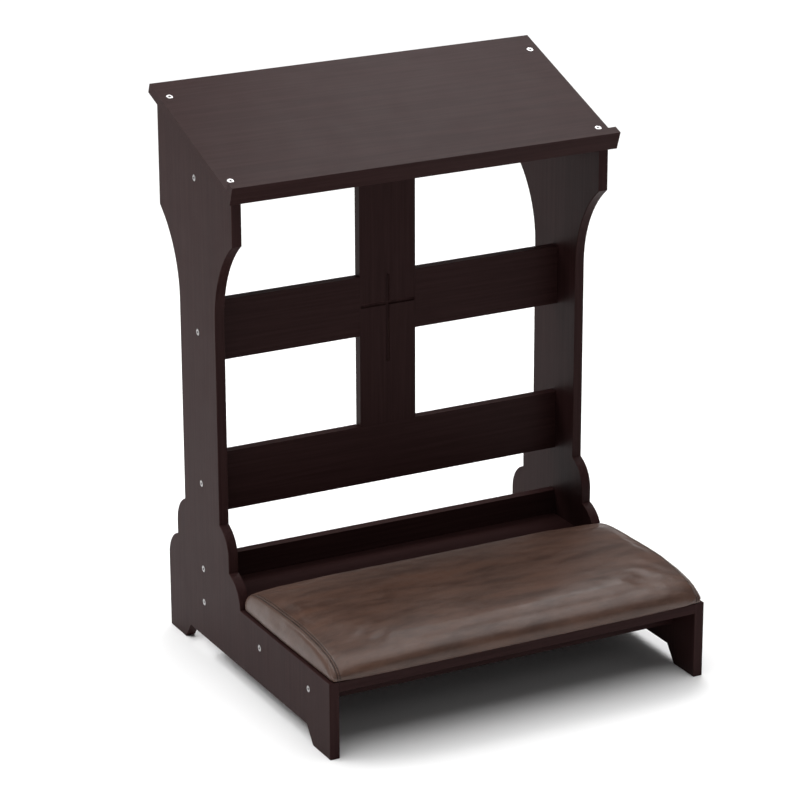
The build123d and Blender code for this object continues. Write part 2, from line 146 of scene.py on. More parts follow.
class LeatherFinish(bpy.types.PropertyGroup):
    brown: paint("Brown", "The leather's main colour", (0.078, 0.041, 0.029))
    deep: paint("Deep", "Dark patches", (0.040, 0.0185, 0.012))
    russet: paint("Russet", "Reddish patches", (0.094, 0.043, 0.026))
    # Besides random pale patches, this colour is the painted highlight laid over the corner crests
    # and the end panels.
    rubbed: paint("Rubbed", "Paler leather where it is stretched", (0.082, 0.050, 0.039))
    thread: paint("Thread", "Colour of the sewing thread", (0.018, 0.010, 0.008))
    gloss: share("Roughness", "How dull the leather is", 0.33)
    pebble: length("Pebble", "Size of the leather's pebbles", 0.0011)
    pebble_depth: length("Pebble depth", "Depth between the pebbles", 0.00012)


class Studio(bpy.types.PropertyGroup):
    lens: FloatProperty(
        name="Lens", description="Focal length", default=151.754, unit="CAMERA", subtype="NONE"
    )
    eye: FloatVectorProperty(
        name="Camera place", description="Where the camera stands", size=3,
        default=(-2.14861, -4.00679, 2.01930), subtype="TRANSLATION", unit="LENGTH"
    )
    turn: FloatProperty(
        name="Turn", description="How far the camera looks towards the right", unit="ROTATION",
        default=math.radians(27.633)
    )
    dip: FloatProperty(
        name="Dip", description="How far the camera looks down", unit="ROTATION",
        default=math.radians(19.736)
    )
    lean: FloatProperty(
        name="Lean", description="How far the camera leans", unit="ROTATION",
        default=math.radians(-0.177)
    )
    ceiling: FloatProperty(name="Ceiling light", description="Strength", default=3.0)
    window: FloatProperty(name="Window light", description="Power", default=19.0, unit="POWER")
    strip: FloatProperty(name="Front strip light", description="Power", default=4.0, unit="POWER")
    side: FloatProperty(name="Desk light", description="Power", default=21.0, unit="POWER")
    room: share("Room light", "Brightness of the room", 0.17)
    floor: paint("Floor", "Colour of the floor", (0.93, 0.93, 0.93))


PROPERTY_GROUPS = {
    "kneeler_lacquer": LacquerFinish,
    "kneeler_screw": ScrewShape,
    "kneeler_pad": PadShape,
    "kneeler_leather": LeatherFinish,
    "kneeler_studio": Studio,
}


# ---- node trees -------------------------------------------------------------------------------
class Wire:
    """A socket in a node tree. Arithmetic on wires adds the nodes that work it out."""

    def __init__(self, tree, socket=None):
        self.tree = tree
        self.socket = socket

    def node(self, kind, values=None, settings=None, out=0):
        """Adds a node: its settings first, then the values or links of its sockets."""
        made = self.tree.nodes.new(kind)
        for key, setting in (settings or {}).items():
            setattr(made, key, setting)
        for key, value in (values or {}).items():
            if isinstance(value, Wire):
                self.tree.links.new(value.socket, made.inputs[key])
            else:
                made.inputs[key].default_value = value
        return Wire(self.tree, made.outputs[out] if made.outputs else None)

    def other(self, out):
        """Another output of the node that this wire comes from."""
        return Wire(self.tree, self.socket.node.outputs[out])

    def sum_of(self, operation, *numbers):
        """A Math node's result."""
        return self.node("ShaderNodeMath", dict(enumerate(numbers)), {"operation": operation})

    def __add__(self, other):
        return self.sum_of("ADD", self, other)

    def __radd__(self, other):
        return self.sum_of("ADD", other, self)

    def __sub__(self, other):
        return self.sum_of("SUBTRACT", self, other)

    def __rsub__(self, other):
        return self.sum_of("SUBTRACT", other, self)

    def __mul__(self, other):
        return self.sum_of("MULTIPLY", self, other)

    def __rmul__(self, other):
        return self.sum_of("MULTIPLY", other, self)

    def __truediv__(self, other):
        return self.sum_of("DIVIDE", self, other)

    def __abs__(self):
        return self.sum_of("ABSOLUTE", self)

    def between(self, low, high):
        """0 below low, 1 above high, and smooth between them."""
        return self.node(
            "ShaderNodeMapRange", {"Value": self, "From Min": low, "From Max": high},
            {"interpolation_type": "SMOOTHSTEP"},
        )


def mixed(amount, first, second):
    """A colour between two colours or wires."""
    def filled(colour):
        return colour if isinstance(colour, Wire) else (*colour, 1.0)
    return amount.node(
        "ShaderNodeMix", {0: amount, 6: filled(first), 7: filled(second)},
        {"data_type": "RGBA"}, out=2,
    )


def blotches(place, scale, detail=4.0, roughness=0.55):
    """Cloudy noise from 0 to 1; scale is in patches per metre."""
    return place.node(
        "ShaderNodeTexNoise",
        {"Vector": place, "Scale": scale, "Detail": detail, "Roughness": roughness},
    )


def new_finish(name):
    """An empty material and a wire to start its nodes from."""
    material = bpy.data.materials.new(name)
    material.use_nodes = True
    material.node_tree.nodes.clear()
    wire = Wire(material.node_tree)
    return material, wire


def close_finish(material, wire, values):
    """Puts the shader on a material and joins it to the output."""
    shader = wire.node("ShaderNodeBsdfPrincipled", values)
    wire.node("ShaderNodeOutputMaterial", {"Surface": shader})
    return material


# ---- finishes ---------------------------------------------------------------------------------
ALONG = {"X": (1, 0, 0), "Y": (0, 1, 0), "Z": (0, 0, 1)}


def lacquered(name, finish, grain, thickness, tilt=0.0):
    """Dark satin lacquer over wood whose grain runs along one axis of a board."""
    material, wire = new_finish(name)
    place = wire.node("ShaderNodeTexCoord", out="Object")
    turned = wire.node("ShaderNodeMapping", {"Vector": place, "Rotation": (-tilt, 0.0, 0.0)})
    stretch = [1.0 / finish.grain_width] * 3
    stretch["XYZ".index(grain)] = 1.0 / finish.grain_length
    drawn = wire.node("ShaderNodeMapping", {"Vector": turned, "Scale": stretch})
    fine = wire.node("ShaderNodeMapping", {"Vector": turned, "Scale": [4.0 * s for s in stretch]})
    streaks = blotches(drawn, 1.0, 5.0, 0.62)
    pores = blotches(fine, 1.0, 3.0, 0.7).between(0.56, 0.72)
    clouds = blotches(turned, 7.0, 3.0)
    smudges = blotches(turned, 23.0, 5.0, 0.6)
    facing = wire.node("ShaderNodeNewGeometry", out="Normal")
    facing = wire.node(
        "ShaderNodeVectorRotate", {"Vector": facing, "Angle": -tilt}, {"rotation_type": "X_AXIS"}
    )
    across = wire.node(
        "ShaderNodeVectorMath", {0: facing, 1: ALONG[thickness]},
        {"operation": "DOT_PRODUCT"}, out="Value",
    )
    edge = abs(across).between(0.12, 0.4) * (1.0 - abs(across).between(0.8, 0.985))
    wear = edge * smudges.between(0.40, 0.68)
    colour = mixed(streaks.between(0.3, 0.72) * 0.8 + clouds * 0.2, finish.deep, finish.warm)
    colour = mixed(pores * 0.45, colour, finish.deep)
    colour = mixed(wear * 0.8, colour, finish.worn)
    dull = finish.gloss - 0.05 + smudges * 0.10 + pores * 0.08 + wear * 0.1
    bump = wire.node("ShaderNodeBump", {
        "Height": streaks * 0.5 - pores * 0.6 + smudges * 0.25,
        "Strength": 0.35, "Distance": finish.grain_depth,
    })
    return close_finish(material, wire, {
        "Base Color": colour, "Roughness": dull, "Normal": bump,
        "Specular IOR Level": 0.04,
    })


def zinc_plated(name, colour, dullness):
    """Bright plated steel with faint rubbing."""
    material, wire = new_finish(name)
    place = wire.node("ShaderNodeTexCoord", out="Object")
    spots = blotches(place, 900.0, 4.0)
    scuffs = blotches(place, 240.0, 3.0, 0.7)
    base = mixed(scuffs.between(0.35, 0.75) * 0.5, colour, tuple(0.62 * c for c in colour))
    bump = wire.node("ShaderNodeBump", {"Height": spots, "Strength": 0.25, "Distance": 0.00003})
    return close_finish(material, wire, {
        "Base Color": base, "Metallic": 1.0, "Normal": bump,
        "Roughness": dullness + spots * 0.12 + scuffs.between(0.5, 0.8) * 0.15,
    })


def bare_wood(name, light, dark, stretch, bands=0.0):
    """Unfinished wood: beech for the dowels, or plywood with its layers."""
    material, wire = new_finish(name)
    place = wire.node("ShaderNodeTexCoord", out="Object")
    drawn = wire.node("ShaderNodeMapping", {"Vector": place, "Scale": stretch})
    streaks = blotches(drawn, 1.0, 5.0, 0.6)
    fibres = blotches(drawn, 5.0, 3.0, 0.7)
    colour = mixed(streaks.between(0.3, 0.7), dark, light)
    if bands:
        height = wire.node("ShaderNodeSeparateXYZ", {"Vector": place}, out="Z")
        layer = wire.sum_of("SINE", height * bands)
        colour = mixed(layer.between(-0.2, 0.5) * 0.55, colour, dark)
    bump = wire.node("ShaderNodeBump", {"Height": fibres, "Strength": 0.4, "Distance": 0.00012})
    return close_finish(material, wire, {
        "Base Color": colour, "Roughness": 0.62 + fibres * 0.15, "Normal": bump,
    })


def carried(wire, label):
    """A number that the mesh carries on its points."""
    return wire.node("ShaderNodeAttribute", settings={"attribute_name": label}, out="Fac")


def leather(name, finish):
    """Oiled brown leather: pebbled and mottled, with painted light and shade: paler on the corner
    crests and end panels, darker along its seams, tinted russet in the end panels' folds.
    """
    material, wire = new_finish(name)
    place = wire.node("ShaderNodeTexCoord", out="Object")
    drawn = wire.node("ShaderNodeMapping", {"Vector": place, "Scale": (7.0, 26.0, 26.0)})
    streaks = blotches(drawn, 1.0, 5.0, 0.62)
    clouds = blotches(drawn, 2.2, 5.0, 0.65)
    patches = blotches(place, 62.0, 5.0, 0.68)
    flecks = blotches(place, 210.0, 3.0, 0.6)
    cells = wire.node(
        "ShaderNodeTexVoronoi",
        {"Vector": place, "Scale": 1.0 / finish.pebble, "Smoothness": 0.35},
        {"feature": "SMOOTH_F1"},
    )
    seam = carried(wire, "seam")
    crease = carried(wire, "crease")
    painted_lit = carried(wire, "painted_lit")
    colour = mixed(clouds.between(0.30, 0.66), finish.deep, finish.brown)
    colour = mixed(streaks.between(0.42, 0.74) * 0.6, colour, finish.russet)
    colour = mixed(patches.between(0.5, 0.78) * 0.4, colour, finish.rubbed)
    # Painted highlight: the corner crests and the end panels are made paler here.
    colour = mixed(painted_lit * 0.65, colour, finish.rubbed)
    colour = mixed(flecks.between(0.52, 0.8) * 0.35, colour, finish.deep)
    # Painted shade: the fold in each end panel is tinted russet, less pale than the panel around
    # it.
    colour = mixed(crease * 0.5, colour, finish.russet)
    # Painted shade: the seam valley and the stitch row are darkened nearly to black.
    colour = mixed(seam * 0.85, colour, tuple(0.35 * c for c in finish.deep))
    grain = cells.between(0.15, 0.75)
    dull = finish.gloss - 0.06 + patches * 0.14 + grain * 0.08 + seam * 0.2
    bump = wire.node("ShaderNodeBump", {
        "Height": flecks * 0.35 - grain, "Strength": 0.35, "Distance": finish.pebble_depth,
    })
    return close_finish(material, wire, {
        "Base Color": colour, "Roughness": dull, "Normal": bump,
        "Specular IOR Level": 0.36,
    })


def sewing_thread(name, colour):
    """Twisted dark thread."""
    material, wire = new_finish(name)
    place = wire.node("ShaderNodeTexCoord", out="Object")
    twist = blotches(place, 2600.0, 2.0)
    dark, light = (tuple(times * c for c in colour) for times in (0.55, 1.5))
    shade = mixed(twist.between(0.3, 0.7), dark, light)
    bump = wire.node("ShaderNodeBump", {"Height": twist, "Strength": 0.5, "Distance": 0.0001})
    return close_finish(material, wire, {
        "Base Color": shade, "Roughness": 0.6 + twist * 0.1, "Normal": bump,
    })


def dress(node, material):
    """Gives a node its finish."""
    for slot in frame["nodes"][node].material_slots:
        slot.material = material


# ---- shared mesh steps ------------------------------------------------------------------------
def finished(context, name, mesh, material=None, sharp=None):
    """Makes a piece of a mesh that already lies in its place."""
    mesh.name = name
    if material:
        mesh.materials.clear()
        mesh.materials.append(material)
    mesh.shade_smooth()
    if sharp:
        mesh.set_sharp_from_angle(angle=math.radians(sharp))
    piece = bpy.data.objects.new(name, mesh)
    context.scene.collection.objects.link(piece)
    return piece


def mesh_of(context, piece):
    """The plain mesh that a piece's modifiers give; the piece itself goes."""
    context.view_layer.update()
    ready = piece.evaluated_get(context.evaluated_depsgraph_get())
    mesh = bpy.data.meshes.new_from_object(ready)
    old = piece.data
    bpy.data.objects.remove(piece)
    bpy.data.meshes.remove(old)
    return mesh


def grown(context, name, seed_mesh, tree, sizes):
    """Runs a geometry tree on a mesh and returns the plain result."""
    source = bpy.data.objects.new(name, seed_mesh)
    context.scene.collection.objects.link(source)
    maker = source.modifiers.new(name, "NODES")
    maker.node_group = tree
    for socket in tree.interface.items_tree:
        if socket.in_out == "INPUT" and socket.name in sizes:
            maker[socket.identifier] = sizes[socket.name]
    return mesh_of(context, source)


def new_tree(name, sockets):
    """A geometry tree with named inputs. Returns the tree, a wire to start from and the inputs."""
    tree = bpy.data.node_groups.new(name, "GeometryNodeTree")
    tree.interface.new_socket(name="Geometry", in_out="INPUT", socket_type="NodeSocketGeometry")
    tree.interface.new_socket(name="Geometry", in_out="OUTPUT", socket_type="NodeSocketGeometry")
    for label, (kind, default) in sockets.items():
        socket = tree.interface.new_socket(name=label, in_out="INPUT", socket_type=kind)
        if default is not None:
            socket.default_value = default
    wire = Wire(tree)
    start = wire.node("NodeGroupInput")
    return tree, wire, {label: start.other(label) for label in ("Geometry", *sockets)}


def close_tree(wire, geometry, material):
    """Ends a geometry tree: real geometry with its material."""
    real = wire.node("GeometryNodeRealizeInstances", {"Geometry": geometry})
    coated = wire.node("GeometryNodeSetMaterial", {"Geometry": real, "Material": material})
    wire.node("NodeGroupOutput", {"Geometry": coated})


def islands(node):
    """The separate solids of a node, each as a list of points."""
    bm = bmesh.new()
    bm.from_mesh(frame["nodes"][node].data)
    bmesh.ops.remove_doubles(bm, verts=bm.verts, dist=0.00001)
    left = set(bm.verts)
    found = []
    while left:
        front = [left.pop()]
        group = list(front)
        while front:
            for edge in front.pop().link_edges:
                for vert in edge.verts:
                    if vert in left:
                        left.remove(vert)
                        front.append(vert)
                        group.append(vert)
        found.append([vert.co.copy() for vert in group])
    bm.free()
    return found


# ---- screws -----------------------------------------------------------------------------------
HEAD_SIDES = 40
KEY_SIDES = 6
SHANK_STEPS = 72
SHANK_SIDES = 16
TIP_LENGTH = 0.004
TIP_BLUNTNESS = 0.15  # the tip's radius as a share of the thread's
THREAD_START = 0.0008  # length over which the neck turns into the thread
HEAD_TOP_BAND = 0.00001  # points this close under the head's top belong to its rim
KEY_TURN = math.radians(60.0)  # the socket looks the same again after this turn


def screw_tree(sizes):
    """One long six-sided-socket screw for every point, pointing in along its outward arrow."""
    kind = "NodeSocketFloat"
    tree, wire, given = new_tree("socket_screws", {
        "Head Radius": (kind, sizes.head_radius), "Head Height": (kind, sizes.head_height),
        "Rim": (kind, sizes.rim), "Neck Radius": (kind, sizes.neck_radius),
        "Neck End": (kind, sizes.neck_end), "Core Radius": (kind, sizes.core_radius),
        "Thread Height": (kind, sizes.thread_height), "Thread Pitch": (kind, sizes.thread_pitch),
        "Length": (kind, sizes.full_length), "Key Radius": (kind, sizes.key_radius),
        "Key Depth": (kind, sizes.key_depth), "Sides": ("NodeSocketInt", HEAD_SIDES),
        "Material": ("NodeSocketMaterial", None), "Seed": ("NodeSocketInt", 5),
    })
    # the head: a disc with a rounded rim and a six-sided socket
    depth = given["Head Height"]
    rim = given["Rim"]

    def disc(radius, thick, middle, sides):
        body = wire.node("GeometryNodeMeshCylinder", {
            "Vertices": sides, "Radius": radius, "Depth": thick,
        })
        shift = wire.node("ShaderNodeCombineXYZ", {"Z": middle})
        return wire.node("GeometryNodeTransform", {"Geometry": body, "Translation": shift})

    blank = disc(given["Head Radius"], depth, 0.0 - depth * 0.5, given["Sides"])
    height = wire.node("ShaderNodeSeparateXYZ", {
        "Vector": wire.node("GeometryNodeInputPosition"),
    }, out="Z")
    is_top = wire.node("FunctionNodeCompare", {
        0: height, 1: -HEAD_TOP_BAND,
    }, {"data_type": "FLOAT", "operation": "GREATER_THAN"})
    narrow = 1.0 - rim / given["Head Radius"]
    flat = wire.node("ShaderNodeCombineXYZ", {"X": narrow, "Y": narrow, "Z": 1.0})
    inner = wire.node("ShaderNodeVectorMath", {
        0: wire.node("GeometryNodeInputPosition"), 1: flat,
    }, {"operation": "MULTIPLY"})
    blank = wire.node("GeometryNodeSetPosition", {
        "Geometry": blank, "Selection": is_top, "Position": inner,
    })
    collar_middle = 0.0 - rim - (depth - rim) * 0.5
    collar = disc(given["Head Radius"], depth - rim, collar_middle, given["Sides"])
    key = disc(given["Key Radius"], given["Key Depth"] * 2.0, 0.0, KEY_SIDES)
    body = wire.node("GeometryNodeMeshBoolean", {"Mesh 2": blank}, {"operation": "UNION"})
    tree.links.new(collar.socket, body.socket.node.inputs["Mesh 2"])
    head = wire.node("GeometryNodeMeshBoolean", {
        "Mesh 1": body, "Mesh 2": key,
    }, {"operation": "DIFFERENCE"})
    # the shank: a round profile whose radius follows the neck, the thread and the tip
    line = wire.node("GeometryNodeCurvePrimitiveLine", {
        "Start": wire.node("ShaderNodeCombineXYZ", {"Z": 0.0 - depth * 0.8}),
        "End": wire.node("ShaderNodeCombineXYZ", {"Z": 0.0 - given["Length"]}),
    })
    line = wire.node("GeometryNodeResampleCurve", {"Curve": line, "Count": SHANK_STEPS})
    down = 0.0 - height
    turn = wire.sum_of("PINGPONG", down, given["Thread Pitch"] * 0.5)
    ridge = (turn / (given["Thread Pitch"] * 0.5)).between(0.35, 1.0)
    threaded = given["Core Radius"] + given["Thread Height"] * ridge
    tip = (given["Length"] - down) / TIP_LENGTH
    tip = wire.sum_of("MINIMUM", tip + TIP_BLUNTNESS, 1.0)
    on_thread = (down - given["Neck End"]).between(0.0, THREAD_START)
    radius = given["Neck Radius"] * (1.0 - on_thread) + threaded * tip * on_thread
    circle = wire.node("GeometryNodeCurvePrimitiveCircle", {
        "Resolution": SHANK_SIDES, "Radius": 1.0,
    })
    rod = wire.node("GeometryNodeCurveToMesh", {
        "Curve": line, "Fill Caps": True, "Scale": radius, "Profile Curve": circle,
    })
    screw = wire.node("GeometryNodeJoinGeometry", {"Geometry": head})
    tree.links.new(rod.socket, screw.socket.node.inputs["Geometry"])
    outward = wire.node("GeometryNodeInputNamedAttribute", {"Name": "outward"}, {
        "data_type": "FLOAT_VECTOR",
    })
    aim = wire.node("FunctionNodeAlignRotationToVector", {"Vector": outward}, {"axis": "Z"})
    placed = wire.node("GeometryNodeInstanceOnPoints", {
        "Points": given["Geometry"], "Instance": screw, "Rotation": aim,
    })
    twist = wire.node("FunctionNodeRandomValue", {
        2: 0.0, 3: KEY_TURN, "Seed": given["Seed"],
    }, out=1)
    turned = wire.node("GeometryNodeRotateInstances", {
        "Instances": placed, "Rotation": wire.node("ShaderNodeCombineXYZ", {"Z": twist}),
    })
    close_tree(wire, turned, given["Material"])
    return tree


# ---- the pad ----------------------------------------------------------------------------------
# The outline from front to back: (share of the depth, share of the crown).
MIDDLE_OUTLINE = [
    (0.043, 0.0), (0.010, 0.04), (0.0, 0.16), (0.001, 0.34), (0.016, 0.53), (0.062, 0.70),
    (0.13, 0.83), (0.24, 0.935), (0.44, 1.0), (0.66, 0.97), (0.83, 0.90), (0.92, 0.82),
    (0.970, 0.70), (0.997, 0.45), (1.0, 0.20), (0.992, 0.06), (0.975, 0.0),
]
END_OUTLINE = [
    (0.050, 0.0), (0.028, 0.03), (0.022, 0.11), (0.028, 0.25), (0.055, 0.44), (0.106, 0.63),
    (0.165, 0.735), (0.26, 0.84), (0.42, 0.925), (0.60, 0.905), (0.78, 0.86), (0.88, 0.80),
    (0.950, 0.68), (0.990, 0.47), (1.0, 0.22), (0.992, 0.06), (0.975, 0.0),
]
END_TOP = END_OUTLINE[2:14]  # the part of the end outline that faces forward, up and back
OUTLINE_POINTS = 72
CURVE_STEPS = 12  # between two given points of an outline
END_BLEND = 9  # the higher, the closer to the ends the middle outline turns into the end's
CROWN_SAG = 0.03  # how much lower the crown is at the ends
HALF_RINGS = 10  # outlines from the middle to one end
RING_CROWDING = 1.6  # over 1, outlines crowd towards the ends
SHOULDER_RINGS = 7  # outlines round each end panel
SHOULDER_TURN = math.radians(86)
SHOULDER_WIDEST = 0.2  # height of the end panel's widest place, as a share of the pad's
SHOULDER_DRAW = 0.05  # how much the end panel draws in at front and back
CLOTH_STIFFNESS = 60.0
CLOTH_BENDING = 8.0
CLOTH_FRAMES = 20
HELD_HEIGHT = 0.004  # the cover is held fast up to here, where it is stapled down
EVENING_ROUNDS = 6


def rounded(points, count):
    """Even points on a smooth open line through the given ones."""
    ends = [points[0], *points, points[-1]]
    line = []
    for first, a, b, last in zip(ends, ends[1:], ends[2:], ends[3:]):
        a, b = Vector((*a, 0.0)), Vector((*b, 0.0))
        before, after = Vector((*first, 0.0)), Vector((*last, 0.0))
        for step in range(CURVE_STEPS):
            t = step / CURVE_STEPS
            line.append(0.5 * (
                2 * a + (b - before) * t + (2 * before - 5 * a + 4 * b - after) * t * t
                + (3 * a - before - 3 * b + after) * t ** 3
            ))
    line.append(Vector((*points[-1], 0.0)))
    walked = [0.0]
    for a, b in zip(line, line[1:]):
        walked.append(walked[-1] + (b - a).length)
    even = []
    at = 0
    for step in range(count):
        goal = walked[-1] * step / (count - 1)
        while at < len(walked) - 2 and walked[at + 1] < goal:
            at += 1
        part = (goal - walked[at]) / max(walked[at + 1] - walked[at], 1e-9)
        even.append(line[at].lerp(line[at + 1], part))
    return even


def pad_ring(x, inside, half):
    """The pad's outline at one place across it, a little inside its final surface."""
    middle = rounded(MIDDLE_OUTLINE, OUTLINE_POINTS)
    end = rounded(END_OUTLINE, OUTLINE_POINTS)
    towards = min(1.0, abs(x) / half)
    blend = towards ** END_BLEND
    depth = PAD_HIGH.y - PAD_LOW.y - 2 * inside
    crown = PAD_HIGH.z - PAD_LOW.z - inside
    sag = 1.0 - CROWN_SAG * towards ** 3
    ring = []
    for a, b in zip(middle, end):
        share_of = a.lerp(b, blend)
        ring.append(Vector((
            x,
            PAD_LOW.y + inside + share_of.x * depth,
            PAD_LOW.z + share_of.y * crown * sag,
        )))
    return ring


def pad_form(sizes):
    """The closed form that the filled cover starts from."""
    inside = sizes.start_in
    half = RIGHT_END_HIGH.x - sizes.seam_in - inside
    across = [
        half * (1 - (1 - step / HALF_RINGS) ** RING_CROWDING) for step in range(HALF_RINGS + 1)
    ]
    places = [-x for x in reversed(across[1:])] + across
    bm = bmesh.new()
    rings = [[bm.verts.new(p) for p in pad_ring(x, inside, half)] for x in places]
    widest = PAD_LOW.z + SHOULDER_WIDEST * (PAD_HIGH.z - PAD_LOW.z)
    middle = (PAD_LOW.y + PAD_HIGH.y) / 2
    for end, sign in ((rings[0], -1), (rings[-1], 1)):
        for step in range(1, SHOULDER_RINGS + 1):
            turn = SHOULDER_TURN * step / SHOULDER_RINGS
            narrowed = 1 - SHOULDER_DRAW * (1 - math.cos(turn)) ** 1.5
            ring = []
            for vert in end:
                spot = vert.co.copy()
                spot.x += sign * sizes.seam_in * math.sin(turn)
                if spot.z > widest:
                    spot.z = widest + (spot.z - widest) * math.cos(turn)
                spot.y = middle + (spot.y - middle) * narrowed
                ring.append(bm.verts.new(spot))
            if sign < 0:
                rings.insert(0, ring)
            else:
                rings.append(ring)
    for a, b in zip(rings, rings[1:]):
        for i in range(len(a)):
            j = (i + 1) % len(a)
            bm.faces.new((a[i], a[j], b[j], b[i]))
    for ring in (rings[0], rings[-1]):
        bm.faces.new(ring)
    bmesh.ops.recalc_face_normals(bm, faces=bm.faces)
    mesh = bpy.data.meshes.new("pad_form")
    bm.to_mesh(mesh)
    bm.free()
    return mesh


def filled_pad(context, sizes):
    """Swells the form under pressure, as a stuffed cover does, with its movement capped."""
    form = bpy.data.objects.new("pad_form", pad_form(sizes))
    context.scene.collection.objects.link(form)
    even = form.modifiers.new("even", "REMESH")
    even.mode = "VOXEL"
    even.voxel_size = sizes.voxel
    cover = bpy.data.objects.new("pad_cover_filling", mesh_of(context, form))
    context.scene.collection.objects.link(cover)
    start = [v.co.copy() for v in cover.data.vertices]
    held = cover.vertex_groups.new(name="held")
    hem = [i for i, p in enumerate(start) if p.z < PAD_LOW.z + HELD_HEIGHT]
    held.add(hem, 1.0, "REPLACE")
    filling = cover.modifiers.new("filling", "CLOTH")
    filling.settings.use_pressure = True
    filling.settings.uniform_pressure_force = sizes.pressure
    filling.settings.effector_weights.gravity = 0.0
    filling.settings.vertex_group_mass = "held"
    filling.settings.tension_stiffness = CLOTH_STIFFNESS
    filling.settings.compression_stiffness = CLOTH_STIFFNESS
    filling.settings.bending_stiffness = CLOTH_BENDING
    filling.point_cache.frame_start = 1
    filling.point_cache.frame_end = CLOTH_FRAMES
    for step in range(1, CLOTH_FRAMES + 1):
        context.scene.frame_set(step)
    swollen = cover.evaluated_get(context.evaluated_depsgraph_get())
    moved = [v.co.copy() for v in swollen.data.vertices]
    cover.modifiers.clear()
    context.scene.frame_set(1)
    outward = [v.normal.copy() for v in cover.data.vertices]
    pushed = [
        min(sizes.swell, max(0.0, (new - old).dot(n)))
        for old, new, n in zip(start, moved, outward)
    ]
    pushed = evened(cover.data, pushed, EVENING_ROUNDS)
    for vert, old, n, push in zip(cover.data.vertices, start, outward, pushed):
        vert.co = old + n * push
    finer = cover.modifiers.new("finer", "SUBSURF")
    finer.levels = 1
    finer.render_levels = 1
    mesh = mesh_of(context, cover)
    fit_to_pad(mesh)
    return mesh


def evened(mesh, values, rounds):
    """Values on a mesh's points, each averaged with its neighbours' a few times."""
    beside = [[] for _ in values]
    for edge in mesh.edges:
        a, b = edge.vertices
        beside[a].append(b)
        beside[b].append(a)
    for _ in range(rounds):
        values = [
            0.5 * value + 0.5 * sum(values[i] for i in near) / max(len(near), 1)
            for value, near in zip(values, beside)
        ]
    return values


def fit_to_pad(mesh):
    """Stretches the filled cover a little, so that it fills the pad's own space."""
    wanted_low = Vector((LEFT_END_LOW.x, PAD_LOW.y, PAD_LOW.z))
    wanted_high = Vector((RIGHT_END_HIGH.x, PAD_HIGH.y, PAD_HIGH.z))
    points = [v.co for v in mesh.vertices]
    for i in range(3):
        low = min(p[i] for p in points)
        high = max(p[i] for p in points)
        for p in points:
            p[i] = wanted_low[i] + (p[i] - low) * (wanted_high[i] - wanted_low[i]) / (high - low)


def dip(distance, depth, width):
    """A soft valley across a line."""
    return -depth * math.exp(-((distance / width) ** 2))


# Where the cover is cut beside each seam, in millimetres outward from it.
SEAM_CUTS = [-5.4, -4.8, -4.2, -3.6, -3.0, -2.4, -1.8, -1.2, -0.6, 0.0, 0.6, 1.2, 1.8, 2.6, 3.6]
CUT_REACH = 0.006  # faces this close to a cut are looked at
SEAM_WIDTH = 0.00085
ROW_DEPTH, ROW_WIDTH = 0.0007, 0.0008  # the valley under the row of stitches
STRIP_HEIGHT, STRIP_WIDTH = 0.00045, 0.0011  # the strip between seam and row
ROLL_OUT, ROLL_HEIGHT, ROLL_WIDTH = 0.0022, 0.0005, 0.0015  # the roll outside the seam
SIDE_FROM = 0.0042  # past this the end panel has no seam profile
CREASE_FROM = 0.003  # past this the end panel can crease
GATHER_PITCH, GATHER_REACH = 0.0056, 0.009
GATHER_HEIGHT, FRONT_GATHERS = 0.00012, 0.0005
FRONT_ROLL = 0.22  # share of the pad's depth over which the front gathers fade
CREASE_DROP, CREASE_WIDTH, CREASE_HEIGHT = 0.011, 0.0035, 0.0009
CREASE_END, CREASE_FADE = 0.62, 0.3  # shares of the pad's depth
LEATHER_WAVES = ((0.0005, 18), (0.0003, 55))  # height, and waves per metre
# The painted highlight on the corner crest outside each seam: its distance out from the seam, and
# its width.
CREST_OUT, CREST_WIDTH = 0.0026, 0.0024  # where the leather is stretched pale


def cut_seams(bm, seam_x):
    """Cuts the cover along each seam, so that its valleys have points to lie on."""
    for sign in (-1, 1):
        for step in SEAM_CUTS:
            x = sign * (seam_x + step * MM)
            near = [f for f in bm.faces if abs(f.calc_center_median().x - x) < CUT_REACH]
            around = {e for f in near for e in f.edges} | {v for f in near for v in f.verts}
            bmesh.ops.bisect_plane(
                bm, geom=near + list(around), dist=0.00002, plane_co=(x, 0, 0), plane_no=(1, 0, 0)
            )


def seam_profile(out, sizes):
    """How far the leather moves outward at one distance from the seam."""
    if out > SIDE_FROM:
        return 0.0
    return (
        dip(out, sizes.seam_depth, SEAM_WIDTH)
        + dip(out + sizes.row_in, ROW_DEPTH, ROW_WIDTH)
        - dip(out + sizes.row_in * 0.5, STRIP_HEIGHT, STRIP_WIDTH)
        - dip(out - ROLL_OUT, ROLL_HEIGHT, ROLL_WIDTH)
    )


def gathers(p, out, along):
    """The small ripples beside the seam, strongest round the front roll."""
    front_roll = max(0.0, 1.0 - along / FRONT_ROLL)
    walk = p.y - p.z * 1.2
    ripple = math.sin(walk / GATHER_PITCH * 2 * math.pi + 2.0 * noise.noise(p * 60))
    fade = math.exp(-abs(out + 0.001) / GATHER_REACH)
    return ripple * fade * (GATHER_HEIGHT + FRONT_GATHERS * front_roll)


def crease_at(p, along):
    """How strongly the end panel is creased, in a fold parallel to the seam."""
    drop = end_height(along) - p.z
    reach = max(0.0, min(1.0, (CREASE_END - along) / CREASE_FADE))
    return math.exp(-(((drop - CREASE_DROP) / CREASE_WIDTH) ** 2)) * reach


